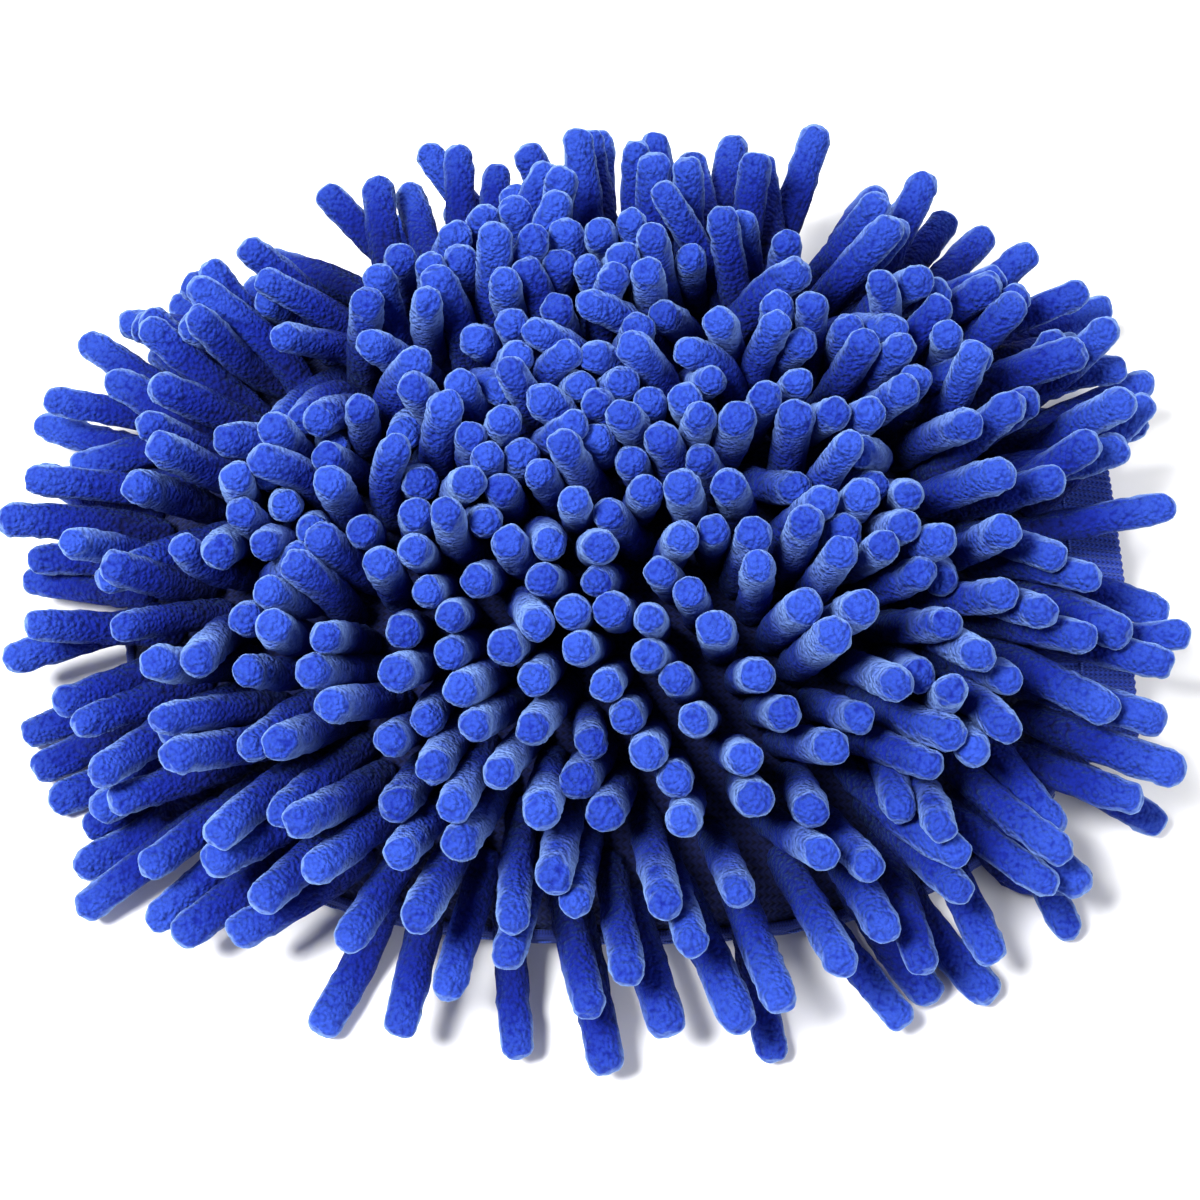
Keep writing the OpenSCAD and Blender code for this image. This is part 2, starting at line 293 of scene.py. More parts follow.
def shader_group(name, inputs, outputs):
    """An empty node group, with the sockets that come into it and go out of it."""
    tree = bpy.data.node_groups.new(name, "ShaderNodeTree")
    for title, value in inputs.items():
        kind = "NodeSocketVector" if value is None else "NodeSocketFloat"
        socket = tree.interface.new_socket(name=title, in_out="INPUT", socket_type=kind)
        if value is not None:
            socket.default_value = value
    for title in outputs:
        tree.interface.new_socket(name=title, in_out="OUTPUT", socket_type="NodeSocketFloat")
    return tree, tree.nodes.new("NodeGroupInput").outputs, tree.nodes.new("NodeGroupOutput").inputs


def use_group(tree, make_group, inputs):
    return add_node(tree, "ShaderNodeGroup", inputs, node_tree=make_group()).outputs


def fuzz_group():
    """Loose fibres: a fine noise over a coarser one, as a mask and as a height."""
    name = "fibre fuzz"
    if name in bpy.data.node_groups:
        return bpy.data.node_groups[name]
    tree, given, out = shader_group(name, {"Vector": None, "Fine": 1500.0, "Coarse": 420.0},
                                    ("Mask", "Clumps", "Height"))
    fine, coarse = (
        add_node(tree, "ShaderNodeTexNoise",
                 {"Vector": given["Vector"], "Scale": given[scale], "Detail": detail,
                  "Roughness": roughness}).outputs["Fac"]
        for scale, detail, roughness in (("Fine", 4, 0.7), ("Coarse", 2, 0.6)))
    tree.links.new(fine, out["Mask"])
    tree.links.new(coarse, out["Clumps"])
    tree.links.new(calc(tree, "MULTIPLY_ADD", coarse, 0.7, fine), out["Height"])
    return tree


def loops_group():
    """Rows of knitted loops: each wale is a column of small Vs."""
    name = "knit loops"
    if name in bpy.data.node_groups:
        return bpy.data.node_groups[name]
    tree, given, out = shader_group(name, {"Along": 0.0, "Across": 0.0, "Pitch": 0.001},
                                    ("Height",))
    column = calc(tree, "DIVIDE", given["Across"], given["Pitch"])
    row = calc(tree, "DIVIDE", given["Along"], given["Pitch"])
    zigzag = calc(tree, "PINGPONG", column, 0.5)
    slanted = calc(tree, "MULTIPLY_ADD", zigzag, 1.3, row)
    loop = calc(tree, "SINE", calc(tree, "MULTIPLY", slanted, 2 * math.pi))
    groove = calc(tree, "COSINE", calc(tree, "MULTIPLY", column, 2 * math.pi))
    both = calc(tree, "MULTIPLY_ADD", groove, -0.8, loop)
    tree.links.new(remap(tree, both, -1.8, 1.8, 0, 1), out["Height"])
    return tree


def add_cloth(tree, pitch):
    """The knit's height, its fibres and its loops, from the cloth's own run and width."""
    loops = use_group(tree, loops_group, {"Along": attribute(tree, "along"),
                                          "Across": attribute(tree, "across"), "Pitch": pitch})
    fuzz = use_group(tree, fuzz_group, {"Vector": object_coords(tree), "Fine": 1900,
                                        "Coarse": 350})
    return calc(tree, "MULTIPLY_ADD", fuzz["Mask"], 0.5, loops["Height"]), fuzz, loops


def knit_cloth(name, colour, painted_loop_shade, pitch, bump_height=0.35 * MM, sheen=0.25, roughness=0.9):
    """Cloth knitted from one yarn: painted shade between the loops, fuzzy on top."""
    if name in bpy.data.materials:
        return bpy.data.materials[name]
    material, tree, shader = new_material(name)
    height, fuzz, loops = add_cloth(tree, pitch)
    # tone: random clumps plus the loop height; the low places between loops take the darker colour as
    # painted shade
    tone = calc(tree, "MULTIPLY_ADD", fuzz["Clumps"], 0.35, loops["Height"])
    finish(tree, shader, colour_ramp(tree, tone, (0.25, painted_loop_shade), (0.85, colour)),
           height, 0.8, bump_height,
           {"Roughness": roughness, "Specular IOR Level": 0.2, "Sheen Weight": sheen,
            "Sheen Tint": (0.30, 0.45, 1.0, 1)})
    return material


def rib_cloth():
    return knit_cloth("rib knit", (0.022, 0.050, 0.36), (0.006, 0.013, 0.10), 1.0 * MM)


def mesh_cloth():
    """Shiny warp-knit yarn of the open mesh."""
    return knit_cloth("mesh cloth", (0.030, 0.070, 0.44), (0.012, 0.026, 0.19), 0.6 * MM,
                      bump_height=0.2 * MM, sheen=0.2, roughness=0.55)


def tape(name, colour, painted_loop_shade, roughness=0.9):
    """Closely woven tape, braid or thread."""
    return knit_cloth(name, colour, painted_loop_shade, 0.55 * MM, bump_height=0.18 * MM, sheen=0.15,
                      roughness=roughness)


def foam():
    """Open-cell sponge: pale, full of small pores."""
    material, tree, shader = new_material("sponge")
    pores = add_node(tree, "ShaderNodeTexVoronoi",
                     {"Vector": object_coords(tree), "Scale": 700}).outputs["Distance"]
    # the pore hollows take the darker colour: painted shade in the pores
    colour = colour_ramp(tree, pores, (0.1, (0.40, 0.33, 0.14)), (0.6, (0.80, 0.74, 0.48)))
    finish(tree, shader, colour, pores, 0.9, 0.5 * MM, {"Roughness": 0.95})
    return material


def label_cloth():
    """White satin label, blank, with a line of stitching inside its edge."""
    material, tree, shader = new_material("label cloth")
    height, _, loops = add_cloth(tree, 0.3 * MM)
    low, high = node_box("care_label")
    lines, insides = [], []
    for name, size in (("along", high.x - low.x), ("across", high.y - low.y)):
        reach = calc(tree, "ABSOLUTE", attribute(tree, name))
        lines.append(calc(tree, "COMPARE", reach, size / 2 - 1.6 * MM, 0.35 * MM))
        insides.append(calc(tree, "LESS_THAN", reach, size / 2 - 1.2 * MM))
    border = calc(tree, "MAXIMUM", calc(tree, "MULTIPLY", lines[0], insides[1]),
                  calc(tree, "MULTIPLY", lines[1], insides[0]))
    # the white weave greys in its low places: painted shade between the threads
    weave_with_painted_shade = colour_ramp(tree, loops["Height"], (0, (0.62, 0.63, 0.66)), (1, (0.84, 0.85, 0.87)))
    finish(tree, shader, lay_over(tree, border, weave_with_painted_shade, (0.05, 0.10, 0.45)),
           height, 0.5, 0.1 * MM, {"Roughness": 0.5})
    return material


def pile_material():
    """Chenille: painted shade at the root, pebbled by its tufts with painted shade in their hollows,
    painted highlight and painted sheen towards the tip where the fibre ends catch light.
    """
    pile = settings()
    material, tree, shader = new_material("chenille")
    coords = object_coords(tree)
    along = attribute(tree, "along")
    fuzz = use_group(tree, fuzz_group, {"Vector": coords, "Fine": 1500, "Coarse": 520})
    # tufts: small rounded cells, as the cut loops stand
    tufts = add_node(tree, "ShaderNodeTexVoronoi", feature="SMOOTH_F1",
                     inputs={"Vector": coords, "Scale": 1080, "Smoothness": 0.4})
    tuft_height = calc(tree, "MULTIPLY_ADD", tufts.outputs["Distance"], -1.1, 1.0)
    height = calc(tree, "MULTIPLY_ADD", fuzz["Height"], 0.8, tuft_height)
    # colour: painted shade at the root rising to a painted highlight at the tip, mottled by the fibres
    # with painted shade in the tuft hollows, each finger a little different
    root_shade_to_tip_highlight = remap(tree, along, 11 * MM, 32 * MM, 0, 0.64)
    mottle_and_hollow_shade = remap(tree, height, 0.45, 1.15, -0.17, 0.20)
    toned = calc(tree, "MULTIPLY_ADD", attribute(tree, "tone"), 0.10,
                 calc(tree, "ADD", root_shade_to_tip_highlight, mottle_and_hollow_shade))
    colour = colour_ramp(tree, toned, (0, pile.painted_root_shade), (0.5, pile.body), (1, pile.light))
    # painted sheen: paler where the upright fibres are seen edge on, most near the tip
    edge = add_node(tree, "ShaderNodeLayerWeight", {"Blend": 0.5}).outputs["Facing"]
    painted_sheen_mask = calc(tree, "MULTIPLY", remap(tree, edge, 0.42, 1, 0, 1),
                remap(tree, along, 19 * MM, 31 * MM, 0, 0.9), clamp=True)
    finish(tree, shader, lay_over(tree, painted_sheen_mask, colour, pile.sheen), height, 1.0, 1.0 * MM,
           {"Roughness": 0.95, "Specular IOR Level": 0.1, "Sheen Weight": 0.08,
            "Sheen Roughness": 0.4, "Sheen Tint": (0.18, 0.42, 1.0, 1)})
    return material


# --- pile -----------------------------------------------------------------------

BEADS = 8               # points along a finger's middle line
FINGER_SIDES = 8
# Shares of the length and of the radius at each ring of a finger
RINGS = [(0.0, 0.0), (0.12, 0.5), (0.28, 0.9), (0.5, 1.0), (0.72, 1.0),
         (0.895, 1.0), (0.945, 0.91), (0.982, 0.62)]
RING_GAIN = 1.09        # makes up for what smoothing takes off an eight-sided ring
PILE_HALF = (100 * MM, 80 * MM)  # half length and half width of the pile
PATCH_MIDDLE = np.array([-8 * MM, -38 * MM])  # the pile lies tidiest round this place
PATCH_REACH = np.array([80 * MM, 58 * MM])
LEAN_WAVE = 42 * MM     # distance over which neighbours lean alike
SETTLE_TURNS = 90
PULL_TURNS = 60         # turns in which a finger is still drawn back to its first line
PAIR_REACH = 13 * MM
MOST_PUSH = 1.2 * MM
FLOOR_GAP = 0.6 * MM


def read_fingers():
    """Root, direction and length of every finger in the frame, row by row."""
    found = []
    for row in ROWS:
        bm = merged_copy(row)
        for points in islands(bm):
            middle = points.mean(0)
            axis = np.linalg.svd(points - middle, full_matrices=False)[2][0]
            run = (points - middle) @ axis
            spread = []
            for end in (run.min(), run.max()):
                near = points[np.abs(run - end) < 0.2 * MM]
                across = near - middle
                across -= np.outer(across @ axis, axis)
                spread.append(np.linalg.norm(across, axis=1).max())
            if spread[0] < spread[1]:
                axis, run = -axis, -run
            found.append((row, middle + axis * run.min(), axis, run.max() - run.min()))
        bm.free()
    return found


def turn(vectors, axes, angles):
    """Rodrigues' rotation of each vector about its own axis."""
    axes = axes / np.maximum(np.linalg.norm(axes, axis=1, keepdims=True), 1e-9)
    c, s = np.cos(angles)[:, None], np.sin(angles)[:, None]
    dot = (vectors * axes).sum(1, keepdims=True)
    return vectors * c + np.cross(axes, vectors) * s + axes * dot * (1 - c)


def unit(v):
    """Vectors of length one along the last axis."""
    return v / np.maximum(np.linalg.norm(v, axis=-1, keepdims=True), 1e-9)


def lean_field(points, wave):
    """A smooth sideways push, the same for neighbours, from -1 to 1 in X, Y and Z."""
    noise.seed_set(settings().seed + 1)  # a seed of 0 would be taken from the clock
    out = [noise.noise_vector(Vector(p) / wave) for p in points]
    return np.array([v[:] for v in out])


def lean_fingers(roots, dirs, untidy, random):
    """Turns the sewn directions to the nap, the fan and the lean that neighbours share."""
    pile = settings()
    lean = lean_field(roots, LEAN_WAVE) * pile.lean
    lean += random.uniform(-0.6, 0.6, (len(roots), 3)) * pile.lean
    lean *= untidy[:, None]
    reach = np.array([outline_share(x, y, *PILE_HALF) for x, y, _ in roots])
    fan = pile.upright + (1 - pile.upright) * np.clip(reach, 0, 1) ** 2.2
    nap = np.array([0, -math.sin(pile.nap), math.cos(pile.nap)])
    dirs = unit(dirs * fan[:, None] + nap * (1 - fan)[:, None] * 1.2)
    return unit(dirs + lean * 1.4)


def bend_fingers(roots, heading, steps, untidy, random):
    """The beads of every finger, from its root on, as it curls and droops."""
    pile = settings()
    count = len(roots)
    up = np.array([0, 0, 1.0])
    level = np.linalg.norm(np.cross(heading, up), axis=1)
    curl_axis = unit(np.cross(heading, random.normal(size=(count, 3))))
    curl = random.uniform(-1, 1, count) * random.uniform(0.4, 1, count) * pile.curl * untidy
    sag_axis = np.cross(up, heading)
    chain = [roots]
    for k in range(1, BEADS):
        bend = (k / BEADS) * 2 / BEADS
        heading = turn(heading, curl_axis, curl * bend)
        heading = turn(heading, sag_axis, pile.droop * level * bend)
        heading = unit(heading)
        chain.append(chain[-1] + heading * steps[:, None])
    return np.stack(chain, 1)


def close_pairs(beads):
    """Pairs of beads of different fingers that are near enough to touch soon."""
    flat = beads.reshape(-1, 3)
    owner = np.repeat(np.arange(len(beads)), BEADS)
    gap2 = ((flat[:, None, :] - flat[None, :, :]) ** 2).sum(2)
    close = np.argwhere(gap2 < PAIR_REACH ** 2)
    close = close[(close[:, 0] < close[:, 1])]
    close = close[owner[close[:, 0]] != owner[close[:, 1]]]
    return close[:, 0], close[:, 1]


def push_apart(beads, bead_r, i, j):
    """Moves the beads i and j of each pair away from each other where they overlap."""
    flat = beads.reshape(-1, 3)
    apart = flat[i] - flat[j]
    gap = np.maximum(np.linalg.norm(apart, axis=1), 1e-9)
    want = (bead_r.reshape(-1)[i] + bead_r.reshape(-1)[j]) * 1.03
    short = np.maximum(want - gap, 0) * 0.45
    push = apart / gap[:, None] * short[:, None]
    move = np.zeros_like(flat)
    np.add.at(move, i, push)
    np.add.at(move, j, -push)
    flat = flat + np.clip(move, -MOST_PUSH, MOST_PUSH)
    return flat.reshape(beads.shape)


def keep_off_knit(beads, bead_r, skin):
    """Lifts the beads past a finger's root out of the knit that carries the pile."""
    for n in range(len(beads)):
        for k in range(3, BEADS):
            hit, normal, _, _ = skin.find_nearest(beads[n, k])
            over = (Vector(beads[n, k]) - hit).dot(normal) - bead_r[n, k]
            if over < 0:
                beads[n, k] -= np.array(normal) * over


def settle_fingers(fingers):
    """Bends the fingers, lets them sag, and pushes them apart where they touch."""
    pile = settings()
    random = rng()
    count = len(fingers)
    roots = np.array([f[1] for f in fingers])
    dirs = np.array([f[2] for f in fingers])
    lengths = np.array([f[3] for f in fingers]) * random.uniform(0.88, 1.10, count)
    steps = lengths / BEADS
    radii = pile.finger_r * random.uniform(0.91, 1.08, count)
    off = (roots[:, :2] - PATCH_MIDDLE) / PATCH_REACH
    untidy = 1.2 - (pile.combed + 0.2) * np.exp(-(off ** 2).sum(1))
    heading = lean_fingers(roots, dirs, untidy, random)
    beads = bend_fingers(roots, heading, steps, untidy, random)
    target = beads.copy()
    thick = np.interp(np.linspace(0, 1, BEADS), [0, 0.35, 1],
                      [pile.root_r, pile.finger_r, pile.finger_r])
    bead_r = thick[None, :] * (radii / pile.finger_r)[:, None]
    skin = node_tree("pile_backing")
    for turn_no in range(SETTLE_TURNS):
        pull = 0.06 * max(0.0, 1 - turn_no / PULL_TURNS)
        if turn_no % 6 == 0:
            i, j = close_pairs(beads)
        beads = push_apart(beads, bead_r, i, j)
        beads += (target - beads) * pull
        if turn_no % 5 == 0:
            keep_off_knit(beads, bead_r, skin)
        beads[:, :, 2] = np.maximum(beads[:, :, 2], bead_r + FLOOR_GAP)
        beads[:, 1:-1] += (beads[:, :-2] + beads[:, 2:] - 2 * beads[:, 1:-1]) * 0.12
        beads[:, 0] = roots
        for k in range(1, BEADS):
            beads[:, k] = beads[:, k - 1] + unit(beads[:, k] - beads[:, k - 1]) * steps[:, None]
    return beads, radii, lengths


def smooth_line(beads, share):
    """A point and heading on the curve through a finger's beads, at a share of its length."""
    place = share * BEADS
    k = min(int(place), BEADS - 2)
    t = place - k
    before = beads[max(k - 1, 0)] if k else 2 * beads[0] - beads[1]
    a, b = beads[k], beads[k + 1]
    after = beads[k + 2] if k + 2 < BEADS else 2 * b - a
    ma, mb = (b - before) / 2, (after - a) / 2
    if t > 1:
        end = unit(mb[None])[0]
        return b + end * np.linalg.norm(b - a) * (t - 1), end
    t2, t3 = t * t, t * t * t
    point = ((2 * t3 - 3 * t2 + 1) * a + (t3 - 2 * t2 + t) * ma
             + (-2 * t3 + 3 * t2) * b + (t3 - t2) * mb)
    slope = ((6 * t2 - 6 * t) * a + (3 * t2 - 4 * t + 1) * ma
             + (-6 * t2 + 6 * t) * b + (3 * t2 - 2 * t) * mb)
    return point, slope / max(np.linalg.norm(slope), 1e-9)


def finger_template():
    """A straight finger one unit long and one unit in radius."""
    outline = [(1, 0, height) for height, _ in RINGS] + [(0, 0, 1)]
    return spin_template("finger_template", outline, (0, 0, 1), FINGER_SIDES)


def ring_radius(height, root_r, finger_r):
    """Radius of the control ring at a share of a finger's length."""
    for ring_height, share in RINGS:
        if abs(ring_height - height) < 1e-4:
            if ring_height > 0.8:
                return finger_r * share
            return root_r + (finger_r - root_r) * share
    return 0.0


def shape_finger(verts, layers, beads, radius, length, tone, root_r):
    """Lays a template finger's points along its settled line."""
    lines = {}
    normal = None
    for height in sorted({round(v.co.z, 4) for v in verts}):
        point, heading = smooth_line(beads, height)
        if normal is None:
            start = Vector((0, 0, 1)) if abs(heading[2]) < 0.9 else Vector((1, 0, 0))
            normal = start.cross(Vector(heading)).normalized()
        else:
            normal = (normal - Vector(heading) * normal.dot(Vector(heading))).normalized()
        lines[height] = (Vector(point), normal.copy(), Vector(heading).cross(normal))
    for v in verts:
        height = round(v.co.z, 4)
        point, side, other = lines[height]
        r = ring_radius(height, root_r, radius) * RING_GAIN
        angle = math.atan2(v.co.y, v.co.x)
        v.co = point + (side * math.cos(angle) + other * math.sin(angle)) * r
        v[layers[0]] = height * length
        v[layers[1]] = tone


def build_pile():
    material = pile_material()
    fingers = read_fingers()
    beads, radii, lengths = settle_fingers(fingers)
    tones = rng(1).uniform(-1, 1, len(fingers))
    template = finger_template()
    lumps = bpy.data.textures.new("pile_lumps", "CLOUDS")
    lumps.noise_scale = 2.6 * MM
    lumps.noise_depth = 1
    for row in ROWS:
        bm = bmesh.new()
        layers = (bm.verts.layers.float.new("along"), bm.verts.layers.float.new("tone"))
        for n, finger in enumerate(fingers):
            if finger[0] != row:
                continue
            before = len(bm.verts)
            bm.from_mesh(template)
            bm.verts.ensure_lookup_table()
            shape_finger(bm.verts[before:], layers, beads[n], radii[n], lengths[n],
                         tones[n], settings().root_r)
        obj = add_object(row.replace("pile_row", "chenille_row"), bm, material=material,
                         replaces=(row,))
        subdivide(obj, 2)
        bulge = obj.modifiers.new("lumps", "DISPLACE")
        bulge.texture = lumps
        bulge.texture_coords = "LOCAL"
        bulge.strength = 1.0 * MM
        bulge.mid_level = 0.5
    bpy.data.meshes.remove(template)


class MITT_OT_pile(bpy.types.Operator):
    """Makes the rows of soft pile fingers"""
    bl_idname = "mitt.pile"
    bl_label = "Pile rows"

    def execute(self, context):
        build_pile()
        return {"FINISHED"}


# --- cloth shapes -------------------------------------------------------------

OUTLINE_POWER = 2.5
SEAM_Z = 8 * MM
WALL = {"pile_backing": 1.6 * MM, "back_panel": 1.4 * MM, "front_lining": 0.8 * MM,
        "back_lining": 0.8 * MM, "sponge_pad": 5 * MM}


def node_box(node):
    points = np.array([v.co[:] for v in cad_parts[node].data.vertices])
    return Vector(points.min(0)), Vector(points.max(0))


def node_tree(node):
    bm = merged_copy(node)
    tree = BVHTree.FromBMesh(bm)
    bm.free()
    return tree


def outline_share(x, y, half_l, half_w):
    """0 in the middle of an outline and 1 on it."""
    total = (abs(x) / half_l) ** OUTLINE_POWER + (abs(y) / half_w) ** OUTLINE_POWER
    return total ** (1 / OUTLINE_POWER)


def cut_panel(node, cell, above):
    """A cloth of even square cells, cut to a node's outline and laid on its outside."""
    low, high = node_box(node)
    half_l, half_w, end = -low.x, high.y, high.x
    bm = bmesh.new()
    length = end + half_l
    bmesh.ops.create_grid(bm, x_segments=round(length / cell),
                          y_segments=2 * round(half_w / cell), size=1)
    bmesh.ops.scale(bm, vec=(length / 2, half_w, 1), verts=bm.verts)
    bmesh.ops.translate(bm, vec=((end - half_l) / 2, 0, 0), verts=bm.verts)
    outside = [f for f in bm.faces
               if outline_share(*f.calc_center_median()[:2], half_l, half_w) > 1]
    bmesh.ops.delete(bm, geom=outside, context="FACES")
    for v in bm.verts:
        share = outline_share(v.co.x, v.co.y, half_l, half_w)
        if v.is_boundary and (v.co.x < end - cell / 4 or share > 1):
            v.co.x /= share
            v.co.y /= share
    near_rim = [v for v in bm.verts if not v.is_boundary
                and outline_share(v.co.x, v.co.y, half_l, half_w) > 0.85]
    for _ in range(3):
        bmesh.ops.smooth_vert(bm, verts=near_rim, factor=0.5, use_axis_x=True,
                              use_axis_y=True, use_axis_z=False)
    tree = node_tree(node)
    along, across = run_layers(bm)
    side = 1 if above else -1
    for v in bm.verts:
        v[along], v[across] = v.co.x, v.co.y
        x = min(v.co.x * 0.999, end - 0.05 * MM)
        start = Vector((x, v.co.y * 0.999, side))
        hit = tree.ray_cast(start, Vector((0, 0, -side)))[0]
        v.co.z = hit.z if hit else SEAM_Z
    bm.normal_update()
    if (bm.faces[:][0].normal.z > 0) != above:
        bmesh.ops.reverse_faces(bm, faces=bm.faces)
    bm.normal_update()
    return bm


def ripple(bm, size, height, key):
    """Moves a cloth's points in and out by soft noise, all but its rim."""
    for v in bm.verts:
        if not v.is_boundary:
            v.co += v.normal * height * noise.noise(v.co / size + Vector((key, 0, 0)))


def wall(obj, thickness, offset=-1.0):
    mod = obj.modifiers.new("wall", "SOLIDIFY")
    mod.thickness = thickness
    mod.offset = offset
    mod.use_even_offset = False
    return mod


def relax_cloth(obj, cap, pinned=(), pressure=0.0, growth=0.0, frames=20, lowest=None):
    """Runs the cloth solver on a piece and keeps the result, capped, in its mesh."""
    mod = obj.modifiers.new("cloth", "CLOTH")
    cloth = mod.settings
    cloth.quality = 6
    cloth.mass = 0.05
    cloth.tension_stiffness = cloth.compression_stiffness = 12
    cloth.bending_stiffness = 0.4
    cloth.effector_weights.gravity = 0
    cloth.use_pressure = pressure != 0
    cloth.uniform_pressure_force = pressure
    cloth.shrink_min = -growth
    if len(pinned):
        group = obj.vertex_groups.new(name="pinned")
        group.add([int(n) for n in pinned], 1.0, "REPLACE")
        cloth.vertex_group_mass = group.name
    mod.point_cache.frame_start = 1
    mod.point_cache.frame_end = frames
    scene = bpy.context.scene
    for number in range(1, frames + 1):
        scene.frame_set(number)
    solved = obj.evaluated_get(bpy.context.evaluated_depsgraph_get()).data
    places = [v.co.copy() for v in solved.vertices]
    obj.modifiers.remove(mod)
    scene.frame_set(1)
    for v, place in zip(obj.data.vertices, places):
        move = place - v.co
        if move.length > cap:
            move *= cap / move.length
        v.co += move
        if lowest is not None:
            v.co.z = max(v.co.z, lowest)
    for group in list(obj.vertex_groups):
        obj.vertex_groups.remove(group)


def even_ring(points, count):
    """Points spaced evenly round a closed line."""
    points = np.vstack([points, points[:1]])
    steps = np.linalg.norm(np.diff(points, axis=0), axis=1)
    run = np.concatenate([[0], np.cumsum(steps)])
    wanted = np.linspace(0, run[-1], count, endpoint=False)
    return np.stack([np.interp(wanted, run, points[:, k]) for k in range(points.shape[1])], 1), run[-1]


def cuff_ring(tree, x, inset, count):
    """The cuff's outside at one place along it, moved in by an inset."""
    middle = Vector((x, 0, SEAM_Z))
    hits = []
    for angle in np.linspace(0, 2 * math.pi, 720, endpoint=False):
        out = Vector((0, math.cos(angle), math.sin(angle)))
        hit = tree.ray_cast(middle + out * 0.2, -out)[0]
        if hit:
            hits.append(hit[1:])
    ring, around = even_ring(np.array(hits), count)
    ring = even_ring(ring, count)[0]
    tangent = np.roll(ring, -1, 0) - np.roll(ring, 1, 0)
    inward = unit(np.stack([-tangent[:, 1], tangent[:, 0]], 1))
    return ring + inward * inset, around


def wrap_grid(rows, closed_rows=False):
    """A grid bent so that its row i follows the closed ring rows[i]."""
    count = len(rows[0])
    bm = bmesh.new()
    turns = len(rows) if closed_rows else len(rows) - 1
    bmesh.ops.create_grid(bm, x_segments=turns, y_segments=count, size=0.5)
    for v in bm.verts:
        i = round((v.co.x + 0.5) * turns) % len(rows)
        j = round((v.co.y + 0.5) * count) % count
        v.co = rows[i][j]
    bmesh.ops.remove_doubles(bm, verts=bm.verts, dist=1e-6)
    bm.normal_update()
    return bm


def cuff_cloth(profile, count, rib=0.0, ribs=96, fade_from=1.0):
    """A tube of cloth round the cuff, from a list of places along it and insets."""
    tree = node_tree("cuff")
    low, high = node_box("cuff")
    rows, girths = [], []
    for x, inset in profile:
        at = min(max(x, low.x + 0.05 * MM), high.x - 0.05 * MM)
        ring, girth = cuff_ring(tree, at, inset, count)
        rows.append([Vector((x, y, z)) for y, z in ring])
        girths.append(girth)
    bm = wrap_grid(rows)
    along, across = run_layers(bm)
    lookup = {}
    for i, row in enumerate(rows):
        for j, place in enumerate(row):
            lookup[tuple(round(c, 7) for c in place)] = (i, j)
    outward = 0.0
    for face in bm.faces:
        _, y, z = face.calc_center_median()
        outward += y * face.normal.y + (z - SEAM_Z) * face.normal.z
    if outward < 0:
        bmesh.ops.reverse_faces(bm, faces=bm.faces)
        bm.normal_update()
    travelled = [0.0]
    for (xa, ia), (xb, ib) in zip(profile, profile[1:]):
        travelled.append(travelled[-1] + math.hypot(xb - xa, ib - ia))
    for v in bm.verts:
        i, j = lookup.get(tuple(round(c, 7) for c in v.co), (0, 0))
        v[along] = travelled[i]
        v[across] = j / count * girths[0]
        if rib:
            strength = min(1.0, (len(rows) - 1 - i) / max(1, len(rows) * (1 - fade_from)))
            wave = 0.5 * math.cos(2 * math.pi * ribs * j / count) - 0.5
            v.co += v.normal * rib * wave * strength
    return bm


# --- body -----------------------------------------------------------------------

def build_pocket_top():
    """The knit that carries the pile, coloured near black as painted shade where it shows between the
    fingers.
    """
    bm = cut_panel("pile_backing", 4 * MM, above=True)
    ripple(bm, 22 * MM, 0.5 * MM, 1)
    # near-black navy: the knit's dark navy darkened further as painted shade in the gaps between the
    # fingers
    knit = knit_cloth("backing knit with painted shade", (0.005, 0.009, 0.065), (0.0015, 0.0025, 0.018), 1.3 * MM,
                      sheen=0.1)
    obj = add_object("pocket_top", bm, material=knit, replaces=("pile_backing",))
    wall(obj, WALL["pile_backing"])
    subdivide(obj, 1)


def build_sponge():
    """The pad under the knit, plumped by its own pressure."""
    bm = cut_panel("sponge_pad", 5 * MM, above=True)
    bmesh.ops.solidify(bm, geom=bm.faces, thickness=WALL["sponge_pad"] * 0.9)
    bmesh.ops.recalc_face_normals(bm, faces=bm.faces)
    obj = add_object("sponge_foam", bm, material=foam(), replaces=("sponge_pad",))
    remesh = obj.modifiers.new("remesh", "REMESH")
    remesh.mode = "VOXEL"
    remesh.voxel_size = 2.6 * MM
    shaped = bpy.data.meshes.new_from_object(
        obj.evaluated_get(bpy.context.evaluated_depsgraph_get()))
    obj.modifiers.remove(remesh)
    obj.data = shaped
    relax_cloth(obj, cap=0.5 * MM, pressure=4.0)
    for poly in shaped.polygons:
        poly.use_smooth = True
    subdivide(obj, 1)


def build_lining(node, name, above):
    bm = cut_panel(node, 5 * MM, above)
    ripple(bm, 14 * MM, 0.25 * MM, 2)
    cloth = knit_cloth("lining cloth", (0.30, 0.38, 0.56), (0.16, 0.21, 0.36), 0.9 * MM)
    obj = add_object(name, bm, material=cloth, replaces=(node,))
    wall(obj, WALL[node] * 0.8)
    subdivide(obj, 1)
    return obj


